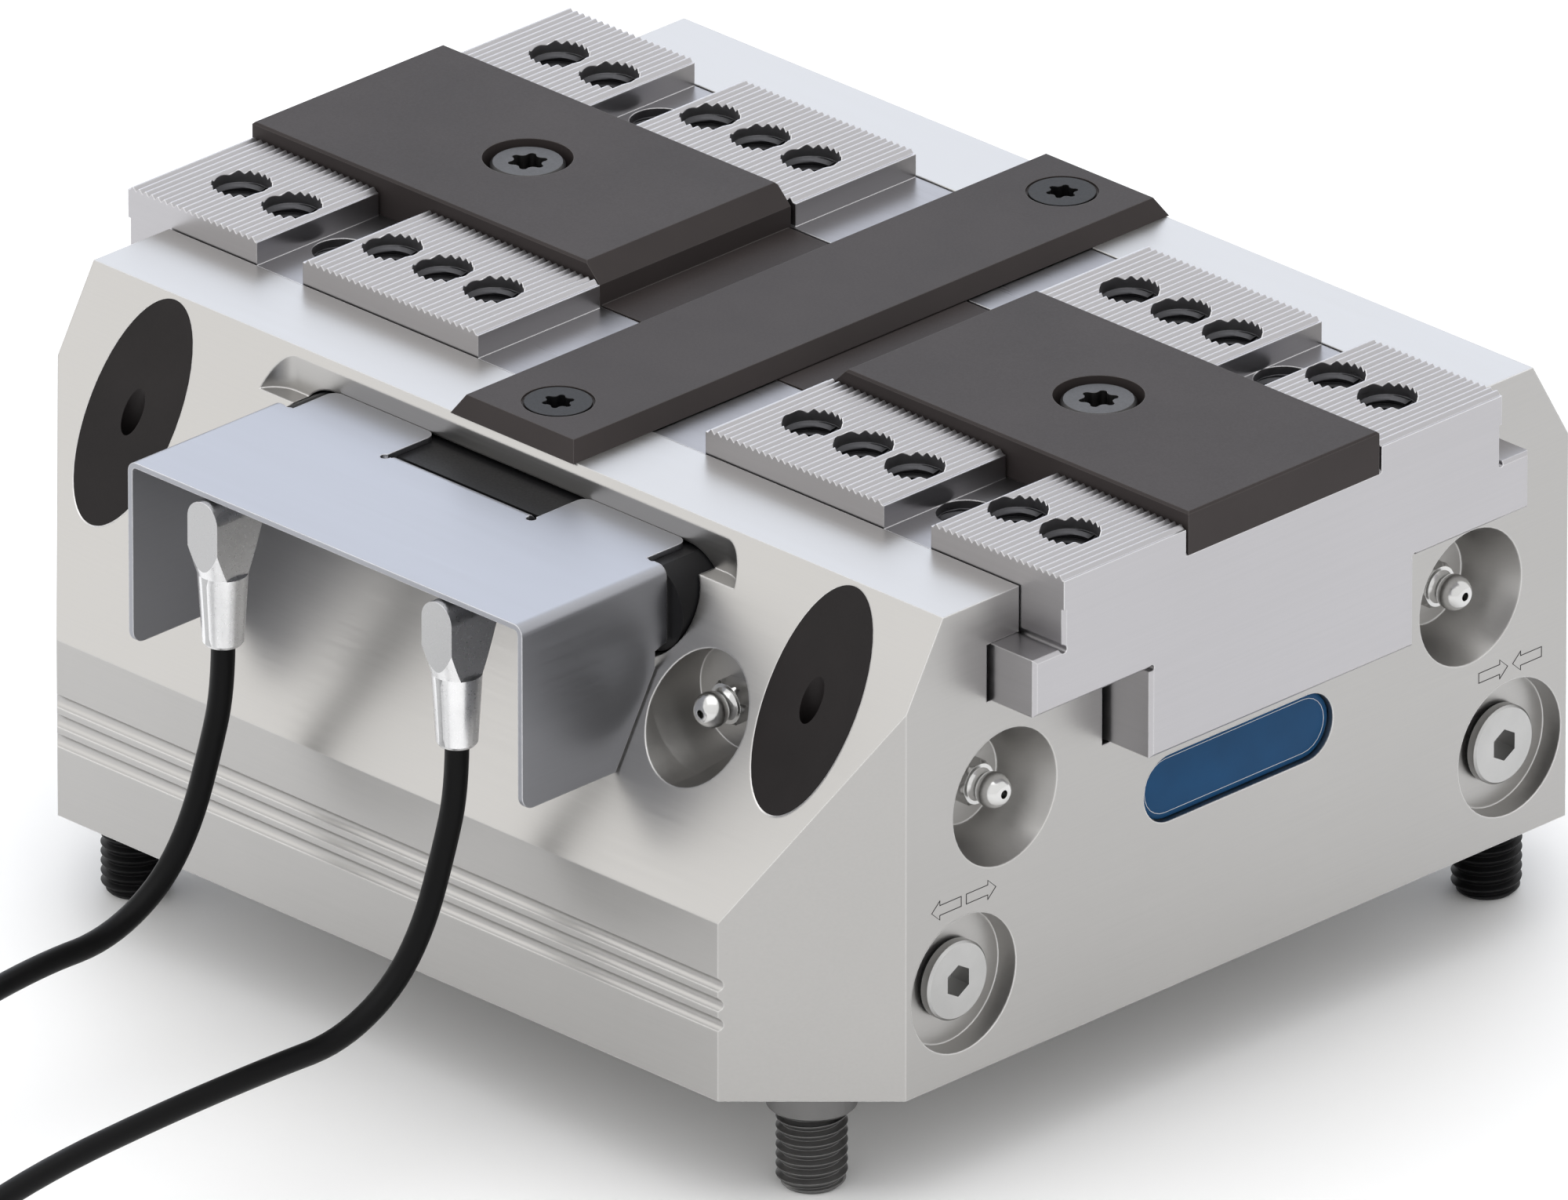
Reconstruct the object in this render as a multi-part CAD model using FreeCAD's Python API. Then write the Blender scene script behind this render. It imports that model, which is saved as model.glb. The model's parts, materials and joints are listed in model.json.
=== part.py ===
import FreeCAD, Part
import math
import os

# A pneumatic two-jaw clamping gripper: a square block with a piston that pulls a wedge hook down, which
# draws two serrated base jaws together. Millimetres. X is the jaws' stroke, +Z is up, and the origin is the
# centre of the mounting face, which is the housing's underside.

V = FreeCAD.Vector

# --- driving dimensions ---
BODY = 200.0  # side of the square housing
HALF = BODY / 2
HEIGHT = 85.1  # housing height
CORNER = 21.9  # leg of the four vertical corner chamfers
FLANK_FOOT = 32.4  # height at which the two flanks start to slope
SLOPE = math.tan(math.radians(60))
TOP_HALF = HALF - (HEIGHT - FLANK_FOOT) / SLOPE

STROKE = 6.0  # of each jaw
WEDGE_RATIO = 0.4  # jaw travel per piston travel
LIFT = STROKE / WEDGE_RATIO  # piston travel
SLIDE_GAP = 0.05  # between sliding faces
FIT = 0.03  # round pieces that sit still in a bore

# jaw section
SLAB_Y = 51.6
WING_Y = 58.4
WEB_Y = 31.1
WEB_BOTTOM = 50.1
WING_BOTTOM = 66.5
WING_TOP = 76.8
JAW_TOP = 84.9
JAW_INNER = 7.5
JAW_OUTER = 110.2
PAD_INNER_Y = 23.1
TOOTH_TOP = 89.8
TOOTH_PITCH = 1.5
TOOTH_DEPTH = 0.7
LONG_PAD = (26.8, 68.4)
SHORT_PAD = (79.4, JAW_OUTER)
JAW_HOLE_X = (37.5, 49.5, 61.5, 73.5, 85.5, 97.5)
JAW_HOLE_Y = 37.4
JAW_HOLE_R = 5.1
JAW_HOLE_BOTTOM = 69.0

# jaw cover
COVER_Y = 22.5
COVER_INNER = 27.4
COVER_BOTTOM = 84.3
COVER_TOP = 92.1
COVER_BEVEL = 3.4
COVER_SCREW_X = 67.2
TONGUE_INNER = 8.5
TONGUE_BOTTOM = 82.0

# bridge bar
BRIDGE_TOP = 88.4
BRIDGE_X = 12.6
BRIDGE_Y = 68.3
BRIDGE_SCREW_Y = 59.4

# drive
BORE_R = 72.0
BORE_BOTTOM = 7.0
BORE_TOP = 37.2
ROD_R = 12.0
CAVITY_FLOOR = 49.6
PISTON_BOTTOM = 22.2
PISTON_TOP = 37.0
COVER_PLATE_R = 84.0
COVER_SCREW_R = 78.0
HOOK_BOTTOM = 65.0
HOOK_TOP = 81.5
HOOK_Y = 22.0
HOOK_X_AT_50 = 35.0  # half width of the wedge hook, where its face would meet Z = 50

# mounting screws
MOUNT = 80.0  # the four screws stand at +-MOUNT
STUD_R = 6.0
SHANK_R = 5.8  # the plain shank above the thread
THREAD_TOP = -7.0
STUD_TIP = -20.8
SEAT_Z = 24.2
HEAD_R = 9.0
HEAD_H = 12.0
CAP_R = 10.0
CAP_BOTTOM = 38.0
SLEEVE_R = 7.6
SLEEVE_END = 6.5

# +-X faces
PORT_Y = 64.6
PORT_Z = 17.05
NIPPLE_Y = 55.0
NIPPLE_Z = 47.8
FLANK_NIPPLE_X = 58.3
FLANK_NIPPLE_Z = 58.7
BADGE_Z = 36.6
BADGE_L = 44.8
BADGE_H = 12.2

# sensors
SENSOR_X = 27.6
SENSOR_Z = 75.5
SENSOR_R = 3.25
SLOT_X = 50.0
SLOT_R = 8.4
SLOT_Z = 71.6
SLOT_END = -64.0
INSERT_R = 8.0
INSERT_FRONT = -79.6
INSERT_TOP = 79.25
POCKET_X = 56.2
POCKET_Z = 77.3
POCKET_BACK = -70.4

# hood, of 1 mm sheet
HOOD_X = 46.4
HOOD_TOP = 80.3
HOOD_FRONT = -113.8
HOOD_BOTTOM = 46.8
SHEET = 1.0
BEND_R = 1.9
WINDOW_FRONT = -82.4  # front edge of the opening in its top, where its rear flange bends down
FLANGE_BACK = WINDOW_FRONT + BEND_R
FLANGE_SCREW_X = 10.0

# cables
CABLE_R = 2.05
CABLE_D = 2 * CABLE_R
FLOOR = STUD_TIP  # the surface that the stud tips stand on
LYING = FLOOR + CABLE_R
COIL_R = 22.5  # middle of the turns
OUTER_TURN_R = COIL_R + CABLE_D
LEFT_COIL = (-SENSOR_X - OUTER_TURN_R, -262.0)
RIGHT_COIL = (SENSOR_X - OUTER_TURN_R, -295.0)
COIL_ENTRY = 9.6  # a cable ends this far before the middle of its coil, just inside the coil's outer shape
END_R = 5.0  # nut of the connector at a cable's far end
PLUG_Y = -110.3  # axis of the angled plugs
PLUG_END_Z = 52.0


# --- helpers ---
def box(x0, x1, y0, y1, z0, z1):
    return Part.makeBox(x1 - x0, y1 - y0, z1 - z0, V(x0, y0, z0))


def cyl(r, start, along, length):
    return Part.makeCylinder(r, length, V(*start), V(*along))


def tube(r_out, r_in, start, along, length):
    return cyl(r_out, start, along, length).cut(cyl(r_in, start, along, length))


def cone(r0, r1, start, along, length):
    return Part.makeCone(r0, r1, length, V(*start), V(*along))


def prism(points, sweep):
    """A closed polygon of 3-D points, swept along a vector."""
    corners = [V(*p) for p in points]
    return Part.Face(Part.makePolygon(corners + corners[:1])).extrude(V(*sweep))


def fuse(shapes):
    first = shapes[0]
    if len(shapes) == 1:
        return first
    return first.fuse(shapes[1:]).removeSplitter()


def cut(shape, tools):
    return shape.cut(tools)


def on_plane(edge, axis, value):
    """Whether an edge lies wholly in the plane axis = value; axis is 0, 1 or 2 for X, Y or Z."""
    return all(abs(v.Point[axis] - value) < 1e-6 for v in edge.Vertexes)


def mirror_x(shape):
    return shape.mirror(V(0, 0, 0), V(1, 0, 0))


def chamfer(shape, size, chosen):
    """Chamfer the edges that the test picks."""
    return shape.makeChamfer(size, [e for e in shape.Edges if chosen(e)])


def fillet(shape, size, chosen):
    return shape.makeFillet(size, [e for e in shape.Edges if chosen(e)])


def along_z(edge):
    a, b = edge.Vertexes[0].Point, edge.Vertexes[-1].Point
    return abs(a.x - b.x) < 1e-6 and abs(a.y - b.y) < 1e-6 and abs(a.z - b.z) > 1e-6


def hexagon(flat, centre, along, depth):
    """A hexagon socket or head, flat millimetres across its flats, with its axis along X, Y or Z."""
    corner = flat / 2 / math.cos(math.pi / 6)
    points = []
    for k in range(6):
        a = math.radians(60 * k + 30)
        u, v = corner * math.cos(a), corner * math.sin(a)
        x, y, z = centre
        if along[2]:
            points.append((x + u, y + v, z))
        elif along[0]:
            points.append((x, y + u, z + v))
        else:
            points.append((x + u, y, z + v))
    return prism(points, [depth * c for c in along])


def star_socket(across, centre, depth):
    """A six-lobed socket that opens upwards, across millimetres from tip to tip; centre is on its mouth."""
    tip = across / 2
    middle, valley, half_lobe = 0.86 * tip, 0.72 * tip, 14.0
    x, y, z = centre

    def at(radius, degrees):
        a = math.radians(degrees)
        return V(x + radius * math.cos(a), y + radius * math.sin(a), z)

    edges = []
    for k in range(6):
        mid = 60.0 * k
        a, b, c = at(middle, mid - half_lobe), at(tip, mid), at(middle, mid + half_lobe)
        d, e = at(valley, mid + 30), at(middle, mid + 60 - half_lobe)
        edges.append(Part.Arc(a, b, c).toShape())
        edges.append(Part.Arc(c, d, e).toShape())
    return Part.Face(Part.Wire(edges)).extrude(V(0, 0, -depth))


def obround_y(half_x, r, z, y0, y1):
    """An obround bar along Y, with its long side along X."""
    middle = box(-(half_x - r), half_x - r, y0, y1, z - r, z + r)
    ends = [cyl(r, (s * (half_x - r), y0, z), (0, 1, 0), y1 - y0) for s in (-1, 1)]
    return fuse([middle] + ends)


def flank_y(z):
    """How far out the sloped flank is at height z."""
    return TOP_HALF + (HEIGHT - z) / SLOPE


def mount_points():
    return [(sx * MOUNT, sy * MOUNT) for sx in (-1, 1) for sy in (-1, 1)]


def cover_screw_points():
    turns = [math.radians(22.5 + 45 * k) for k in range(8)]
    return [(COVER_SCREW_R * math.cos(a), COVER_SCREW_R * math.sin(a)) for a in turns]


# --- housing ---
def housing_block():
    profile = [
        (-HALF, -HALF, 0),
        (-HALF, HALF, 0),
        (-HALF, HALF, FLANK_FOOT),
        (-HALF, TOP_HALF, HEIGHT),
        (-HALF, -TOP_HALF, HEIGHT),
        (-HALF, -HALF, FLANK_FOOT),
    ]
    block = prism(profile, (BODY, 0, 0))
    past = HALF + 1
    corners = []
    for sx in (-1, 1):
        for sy in (-1, 1):
            leg = CORNER + 2
            points = [
                (sx * past, sy * past, -1),
                (sx * (past - leg), sy * past, -1),
                (sx * past, sy * (past - leg), -1),
            ]
            corners.append(prism(points, (0, 0, HEIGHT + 2)))
    return cut(block, corners)


def finger_grooves():
    r, depth = 1.4, 0.7
    return [
        cyl(r, (-HALF, s * (HALF + r - depth), z), (1, 0, 0), BODY)
        for s in (-1, 1)
        for z in (14.0, 17.6, 21.2)
    ]


def jaw_channel():
    """The guide that the jaws slide in, open at both ends and at the top."""
    x = HALF + 1
    return [
        box(-x, x, -32.3, 32.3, CAVITY_FLOOR, WING_TOP),
        box(-x, x, -59.4, 59.4, WING_BOTTOM - SLIDE_GAP, WING_TOP + SLIDE_GAP),
        box(-x, x, -51.9, 51.9, WING_TOP, HEIGHT + 1),
    ]


def cylinder_bore():
    up = (0, 0, 1)
    tools = [
        cyl(BORE_R, (0, 0, BORE_BOTTOM - 0.5), up, BORE_TOP - BORE_BOTTOM + 0.5),
        cyl(COVER_PLATE_R + FIT, (0, 0, -1), up, BORE_BOTTOM + 1),
        cyl(ROD_R + SLIDE_GAP, (0, 0, BORE_TOP - 1), up, CAVITY_FLOOR - BORE_TOP + 2),
        cyl(14.5, (0, 0, 41.5), up, 4.1),
    ]
    tools += [cyl(2.5, (x, y, 6), up, 13) for x, y in cover_screw_points()]
    return tools


def air_ways():
    """Each port leads through a drilling to one side of the piston."""
    tools = []
    turn = math.atan2(PORT_Y, 45.0)
    for side, inlet_z in ((-1, 9.6), (1, 34.8)):
        y = side * PORT_Y
        tools.append(cone(11.9, 12.3, (96.2, y, PORT_Z), (1, 0, 0), 3.9))
        tools.append(cyl(4.9, (87.5, y, PORT_Z), (1, 0, 0), 10))
        tools.append(cyl(3.0, (43.5, y, PORT_Z), (1, 0, 0), 45))
        low, high = sorted((PORT_Z, inlet_z))
        tools.append(cyl(2.5, (45.0, y, low - 1.9), (0, 0, 1), high - low + 3.8))
        out = (math.cos(turn), side * math.sin(turn), 0)
        start = (70.5 * out[0], 70.5 * out[1], inlet_z)
        tools.append(cyl(1.5, start, out, 8.2))
    return tools


def mounting_holes():
    tools = []
    for x, y in mount_points():
        tools.append(cyl(6.5, (x, y, -1), (0, 0, 1), SEAT_Z + 2))
        tools.append(cyl(CAP_R + FIT, (x, y, SEAT_Z), (0, 0, 1), HEIGHT))
    for x, y in ((MOUNT, -MOUNT), (-MOUNT, MOUNT)):
        tools.append(cyl(SLEEVE_R + FIT, (x, y, -1), (0, 0, 1), SLEEVE_END + 1.2))
    return tools


def nipple_recesses():
    tools = []
    for s in (-1, 1):
        for y in (-NIPPLE_Y, NIPPLE_Y):
            tools.append(cone(8.8, 12.2, (s * 92, y, NIPPLE_Z), (s, 0, 0), 8.01))
            tools.append(cone(8.0, 8.8, (s * 90, y, NIPPLE_Z), (s, 0, 0), 2.0))
            tools.append(cyl(3.0, (s * 83.5, y, NIPPLE_Z), (s, 0, 0), 7))
            tools.append(cyl(1.5, (s * 79, y, NIPPLE_Z), (s, 0, 0), 5))
            tools.append(cyl(1.5, (s * 80, y, NIPPLE_Z - 1), (0, 0, 1), WING_BOTTOM - NIPPLE_Z + 1))
    x, z, out = FLANK_NIPPLE_X, FLANK_NIPPLE_Z, (0, -1, 0)
    tools.append(cone(9.3, 10.7, (x, -75, z), out, 10))
    tools.append(cyl(10.7, (x, -85, z), out, 12))
    tools.append(cyl(3.0, (x, -69, z), out, 7))
    tools.append(cyl(1.5, (x, -55, z), out, 14))
    tools.append(cyl(1.5, (x, -56, z - 1), (0, 0, 1), WING_BOTTOM - z + 1))
    return tools


def badge_recess():
    r, x0 = BADGE_H / 2, HALF - 2.0
    flat = BADGE_L / 2 - r
    ends = [cyl(r, (x0, s * flat, BADGE_Z), (1, 0, 0), 3) for s in (-1, 1)]
    return fuse([box(x0, x0 + 3, -flat, flat, BADGE_Z - r, BADGE_Z + r)] + ends)


def sensor_slot():
    r = 5.5
    tools = [obround_y(SLOT_X, SLOT_R, SLOT_Z, -95, SLOT_END)]
    tools.append(box(-POCKET_X + r, POCKET_X - r, -95, POCKET_BACK, POCKET_Z, HEIGHT + 1))
    tools.append(box(-POCKET_X, POCKET_X, -95, POCKET_BACK - r, POCKET_Z, HEIGHT + 1))
    for s in (-1, 1):
        start = (s * (POCKET_X - r), POCKET_BACK - r, POCKET_Z)
        tools.append(cyl(r, start, (0, 0, 1), HEIGHT))
        tools.append(cyl(SENSOR_R + FIT, (s * SENSOR_X, SLOT_END - 1, SENSOR_Z), (0, 1, 0), 5.6))
        tools.append(cyl(2.03, (s * 40, SLOT_END - 1, SLOT_Z), (0, 1, 0), 4.5))
    return tools


def housing():
    tools = finger_grooves() + jaw_channel() + cylinder_bore() + air_ways() + mounting_holes()
    tools += nipple_recesses() + [badge_recess()] + sensor_slot()
    for s in (-1, 1):
        tools.append(cyl(3.03, (0, s * BRIDGE_SCREW_Y, WING_TOP + 1), (0, 0, 1), 20))
    return cut(housing_block(), tools)


# --- bottom cover and drive ---
def bottom_cover():
    plate = cyl(COVER_PLATE_R, (0, 0, 0), (0, 0, 1), BORE_BOTTOM - 0.02)
    tools = [tube(74.6, 72.6, (0, 0, 5.35), (0, 0, 1), 3)]
    for x, y in cover_screw_points():
        tools.append(cyl(2.7, (x, y, -1), (0, 0, 1), 9))
        tools.append(cone(5.2, 2.7, (x, y, 0), (0, 0, 1), 2.8))
    return cut(plate, tools)


def bottom_cover_screws():
    up, found = (0, 0, 1), []
    for x, y in cover_screw_points():
        head = cone(4.95, 2.45, (x, y, 0.05), up, 2.8)
        screw = fuse([head, cyl(2.45, (x, y, 2.8), up, 13.2)])
        found.append(cut(screw, [hexagon(3, (x, y, 0), up, 2.0)]))
    return Part.makeCompound(found)


def cover_o_ring():
    return Part.makeTorus(73.6, 0.78, V(0, 0, 6.17), V(0, 0, 1))


def piston():
    up = (0, 0, 1)
    disc = cyl(BORE_R - SLIDE_GAP, (0, 0, PISTON_BOTTOM), up, PISTON_TOP - PISTON_BOTTOM)
    disc = chamfer(disc, 2.0, lambda e: e.Length > 400)
    rod = cyl(ROD_R, (0, 0, PISTON_TOP - 1), up, HOOK_BOTTOM - PISTON_TOP + 1)
    grooves = [
        tube(BORE_R + 1, 68.0, (0, 0, 31.0), up, 3.2),
        tube(BORE_R + 1, 70.0, (0, 0, 25.2), up, 4.1),
        cyl(5.03, (0, 0, 44.0), up, 22),
    ]
    return cut(fuse([disc, rod]), grooves)


def ring_in_groove(r_out, r_in, z0, z1):
    return tube(r_out, r_in, (0, 0, z0), (0, 0, 1), z1 - z0)


def hook_half_width(z):
    return HOOK_X_AT_50 - WEDGE_RATIO * (z - 50.0)


def leaning_prism(side, x_in, x_out, half_y, z0, z1):
    """A prism whose two X faces lean with the wedge; x_in and x_out count outwards from the wedge's face."""
    inner, outer = side * (hook_half_width(z0) + x_in), side * (hook_half_width(z0) + x_out)
    points = [(inner, -half_y, z0), (outer, -half_y, z0), (outer, half_y, z0), (inner, half_y, z0)]
    rise = z1 - z0
    return prism(points, (-side * WEDGE_RATIO * rise, 0, rise))


def wedge_hook():
    """The wedge hook on the rod: each side has a leaning T-slot that holds one jaw."""
    low, high = hook_half_width(HOOK_BOTTOM), hook_half_width(HOOK_TOP)
    profile = [
        (-low, -HOOK_Y, HOOK_BOTTOM),
        (low, -HOOK_Y, HOOK_BOTTOM),
        (high, -HOOK_Y, HOOK_TOP),
        (-high, -HOOK_Y, HOOK_TOP),
    ]
    block = prism(profile, (0, 2 * HOOK_Y, 0))
    z0, z1 = HOOK_BOTTOM - 1, HOOK_TOP + 1
    tools = []
    for side in (-1, 1):
        tools.append(leaning_prism(side, -5.0, 1.0, 8.0, z0, z1))
        tools.append(leaning_prism(side, -9.0, -4.0, 14.0, z0, z1))
    tools.append(cyl(5.2, (0, 0, z0), (0, 0, 1), 20))
    tools.append(cyl(8.2, (0, 0, 71.0), (0, 0, 1), 12))
    return cut(block, tools)


def socket_screw(x, y, seat, head_r, head_h, shank_r, tip, flat):
    up = (0, 0, 1)
    head = cyl(head_r, (x, y, seat), up, head_h)
    head = chamfer(head, 0.6, lambda e: on_plane(e, 2, seat + head_h))
    shank = cyl(shank_r, (x, y, tip + 1), up, seat - tip)
    end = cone(shank_r - 1, shank_r, (x, y, tip), up, 1.0)
    depth = 0.5 * head_h
    return cut(fuse([head, shank, end]), [hexagon(flat, (x, y, seat + head_h - depth), up, depth + 1)])


def wedge_screw():
    return socket_screw(0, 0, 71.0, 8.0, 10.0, 5.0, 45.5, 8)


# --- jaws ---
def jaw_section():
    """Slab, wings and web, from the wedge cavity to the outer face, for the jaw on +X."""
    length = JAW_OUTER - JAW_INNER
    slab = box(JAW_INNER, JAW_OUTER, -SLAB_Y, SLAB_Y, WING_BOTTOM, JAW_TOP)
    wings = box(JAW_INNER, JAW_OUTER, -WING_Y, WING_Y, WING_BOTTOM, WING_TOP)
    web = box(JAW_INNER, JAW_OUTER, -WEB_Y, WEB_Y, WEB_BOTTOM, WING_BOTTOM + 1)
    jaw = fuse([slab, wings, web])
    bevel = 0.6
    jaw = chamfer(jaw, bevel, lambda e: on_plane(e, 0, JAW_OUTER))
    reliefs = []
    for s in (-1, 1):
        reliefs.append(cyl(0.7, (JAW_INNER, s * SLAB_Y, WING_TOP), (1, 0, 0), length + 1))
        reliefs.append(cyl(0.7, (JAW_INNER, s * WEB_Y, WING_BOTTOM), (1, 0, 0), length + 1))
    return cut(jaw, reliefs)


def serrated_pad(x0, x1, side):
    """A raised pad with saw-like ridges along Y, whose crests are narrow flats."""
    count = int((x1 - x0) / TOOTH_PITCH)
    crest = 0.12
    left_over = (x1 - x0 - count * TOOTH_PITCH) / 2
    y0 = PAD_INNER_Y if side > 0 else -SLAB_Y
    root = TOOTH_TOP - TOOTH_DEPTH
    points = [(x0, y0, JAW_TOP - 1), (x0, y0, root)]
    for k in range(count):
        x = x0 + left_over + k * TOOTH_PITCH
        points.append((x + 0.02, y0, root))
        points.append((x + TOOTH_PITCH / 2 - crest, y0, TOOTH_TOP))
        points.append((x + TOOTH_PITCH / 2 + crest, y0, TOOTH_TOP))
    points += [(x1 - left_over - 0.02, y0, root), (x1, y0, root), (x1, y0, JAW_TOP - 1)]
    return prism(points, (0, SLAB_Y - PAD_INNER_Y, 0))


def jaw_right_shape(notch_x):
    """The base jaw on +X. notch_x is the start of the sensor notch in its -Y wing."""
    pads = [serrated_pad(x0, x1, side) for side in (-1, 1) for x0, x1 in (LONG_PAD, SHORT_PAD)]
    jaw = fuse([jaw_section()] + pads)
    up = (0, 0, 1)
    tools = [box(0, JAW_OUTER + 1, -COVER_Y - 0.1, COVER_Y + 0.1, COVER_BOTTOM, COVER_TOP)]
    reach = hook_half_width(WEB_BOTTOM - 1) + SLIDE_GAP
    cavity = [
        (0, -HOOK_Y - 0.2, WEB_BOTTOM - 1),
        (reach, -HOOK_Y - 0.2, WEB_BOTTOM - 1),
        (reach - WEDGE_RATIO * 36, -HOOK_Y - 0.2, WEB_BOTTOM + 35),
        (0, -HOOK_Y - 0.2, WEB_BOTTOM + 35),
    ]
    tools.append(prism(cavity, (0, 2 * HOOK_Y + 0.4, 0)))
    tools.append(box(0, COVER_INNER + 0.1, -HOOK_Y - 0.2, HOOK_Y + 0.2, TONGUE_BOTTOM - 0.1, JAW_TOP + 1))
    for side in (-1, 1):
        for x in JAW_HOLE_X:
            y = side * JAW_HOLE_Y
            tools.append(cyl(JAW_HOLE_R, (x, y, JAW_HOLE_BOTTOM), up, 30))
            tools.append(cone(3.0, JAW_HOLE_R, (x, y, JAW_HOLE_BOTTOM - 1.5), up, 1.5))
    tools.append(cyl(4.03, (COVER_SCREW_X, 0, 66.0), up, 30))
    tools.append(box(notch_x, notch_x + 7, -WING_Y - 1, -WING_Y + 2, WING_BOTTOM - 1, WING_TOP + 1))
    jaw = cut(jaw, tools)
    z0, z1 = WEB_BOTTOM, 81.4
    neck = leaning_prism(1, -4.5, 3.0, 7.9, z0, z1)
    head = leaning_prism(1, -8.9, -4.05 - SLIDE_GAP, 13.9, z0, z1)
    return fuse([jaw, neck, head])


def jaw_cover_right():
    """The hard black plate on a jaw, with a thin tongue that runs in under the bridge bar."""
    plate = box(COVER_INNER, JAW_OUTER, -COVER_Y, COVER_Y, COVER_BOTTOM, COVER_TOP)
    plate = chamfer(plate, COVER_BEVEL, lambda e: on_plane(e, 0, COVER_INNER) and on_plane(e, 2, COVER_TOP))
    far_half = COVER_INNER + 10
    plate = chamfer(plate, 0.4, lambda e: on_plane(e, 2, COVER_TOP) and e.CenterOfMass.x > far_half)
    tongue = box(TONGUE_INNER, COVER_INNER, -HOOK_Y, HOOK_Y, TONGUE_BOTTOM, JAW_TOP)
    cover = fuse([plate, tongue])
    up = (0, 0, 1)
    tools = [cyl(4.2, (COVER_SCREW_X, 0, 80), up, 20), cyl(7.7, (COVER_SCREW_X, 0, 86.5), up, 10)]
    return cut(cover, tools)


def jaw_cover_screw_right():
    up, x = (0, 0, 1), COVER_SCREW_X
    head = cyl(6.4, (x, 0, 86.5), up, 4.9)
    head = chamfer(head, 0.5, lambda e: e.CenterOfMass.z > 91 and not along_z(e))
    shank = cyl(4.0, (x, 0, 67.0), up, 20)
    return cut(fuse([head, shank]), [star_socket(6.8, (x, 0, 91.4), 3.2)])


# --- bridge bar ---
def rectangle(half_x, half_y, z):
    corners = [V(-half_x, -half_y, z), V(half_x, -half_y, z), V(half_x, half_y, z), V(-half_x, half_y, z)]
    return Part.makePolygon(corners + corners[:1])


def bridge_bar():
    """A bar across the jaws, with all four sides sloped like the flanks."""
    run = (BRIDGE_TOP - HEIGHT) / SLOPE
    low_x, low_y = BRIDGE_X + run, BRIDGE_Y + run
    z0, z1 = HEIGHT, BRIDGE_TOP
    outlines = [rectangle(low_x, low_y, z0), rectangle(BRIDGE_X, BRIDGE_Y, z1)]
    bar = Part.makeLoft(outlines, True, True)
    tools = []
    for s in (-1, 1):
        y = s * BRIDGE_SCREW_Y
        tools.append(cyl(3.2, (0, y, z0 - 1), (0, 0, 1), 6))
        tools.append(cone(3.2, 5.8, (0, y, z0 + 0.4), (0, 0, 1), 2.4))
        tools.append(cyl(6.2, (0, y, z0 + 2.8), (0, 0, 1), 2))
    return cut(bar, tools)


def bridge_screws():
    up, found = (0, 0, 1), []
    for s in (-1, 1):
        y = s * BRIDGE_SCREW_Y
        seat = cone(3.0, 5.7, (0, y, HEIGHT + 0.4), up, 2.45)
        rim = cyl(5.7, (0, y, HEIGHT + 2.8), up, 0.45)
        shank = cyl(3.0, (0, y, WING_TOP + 1.4), up, 7.5)
        screw = fuse([seat, rim, shank])
        found.append(cut(screw, [star_socket(5.5, (0, y, BRIDGE_TOP), 2.2)]))
    return Part.makeCompound(found)


# --- mounting screws and their covers ---
def mounting_screws():
    screws = []
    for x, y in mount_points():
        screw = socket_screw(x, y, SEAT_Z, HEAD_R, HEAD_H, SHANK_R, STUD_TIP, 10)
        thread = cyl(STUD_R, (x, y, STUD_TIP + 1), (0, 0, 1), THREAD_TOP - STUD_TIP - 1)
        lead_in = cone(STUD_R - 1, STUD_R, (x, y, STUD_TIP), (0, 0, 1), 1.0)
        screws.append(fuse([screw, thread, lead_in]))
    return Part.makeCompound(screws)


def centring_sleeves():
    found = []
    for x, y in ((MOUNT, -MOUNT), (-MOUNT, MOUNT)):
        sleeve = tube(SLEEVE_R, 6.4, (x, y, -SLEEVE_END), (0, 0, 1), 2 * SLEEVE_END)
        rim = 2 * math.pi * SLEEVE_R - 1
        found.append(chamfer(sleeve, 0.5, lambda e: e.Length > rim and not along_z(e)))
    return Part.makeCompound(found)


def mounting_hole_caps():
    """Plugs over the mounting screws, cut flush with the sloped flanks."""
    found, low, far = [], 20.0, 160.0
    for x, y in mount_points():
        s = 1 if y > 0 else -1
        plug = cyl(CAP_R, (x, y, CAP_BOTTOM), (0, 0, 1), HEIGHT)
        section = [(TOP_HALF, HEIGHT), (flank_y(low), low), (far, low), (far, far), (TOP_HALF, far)]
        above = prism([(x - 2 * CAP_R, s * out, z) for out, z in section], (4 * CAP_R, 0, 0))
        found.append(cut(plug, [above, cyl(2.05, (x, y, CAP_BOTTOM - 1), (0, 0, 1), HEIGHT)]))
    return Part.makeCompound(found)


# --- grease nipples, ports and badge ---
def nipple(place, out):
    """A button-head grease nipple: thread, hexagon, neck and ball, 9.3 mm high; place is on its seat."""
    def at(h):
        return tuple(p + h * o for p, o in zip(place, out))

    shape = fuse(
        [
            cyl(2.95, at(-6), out, 6.5),
            hexagon(7.0, at(0.0), out, 3.5),
            cone(3.0, 2.1, at(3.5), out, 2.2),
            cyl(2.1, at(3.5), out, 4.0),
            Part.makeSphere(3.1, V(*at(6.6)), V(*out)),
        ]
    )
    front = cyl(6, at(9.3), out, 5)
    hole = cyl(0.8, at(6.3), out, 6)
    return cut(shape, [front, hole])


def side_nipples(side):
    seats = [(side * 90, y, NIPPLE_Z) for y in (-NIPPLE_Y, NIPPLE_Y)]
    return Part.makeCompound([nipple(seat, (side, 0, 0)) for seat in seats])


def flank_nipple():
    return nipple((FLANK_NIPPLE_X, -75, FLANK_NIPPLE_Z), (0, -1, 0))


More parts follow.
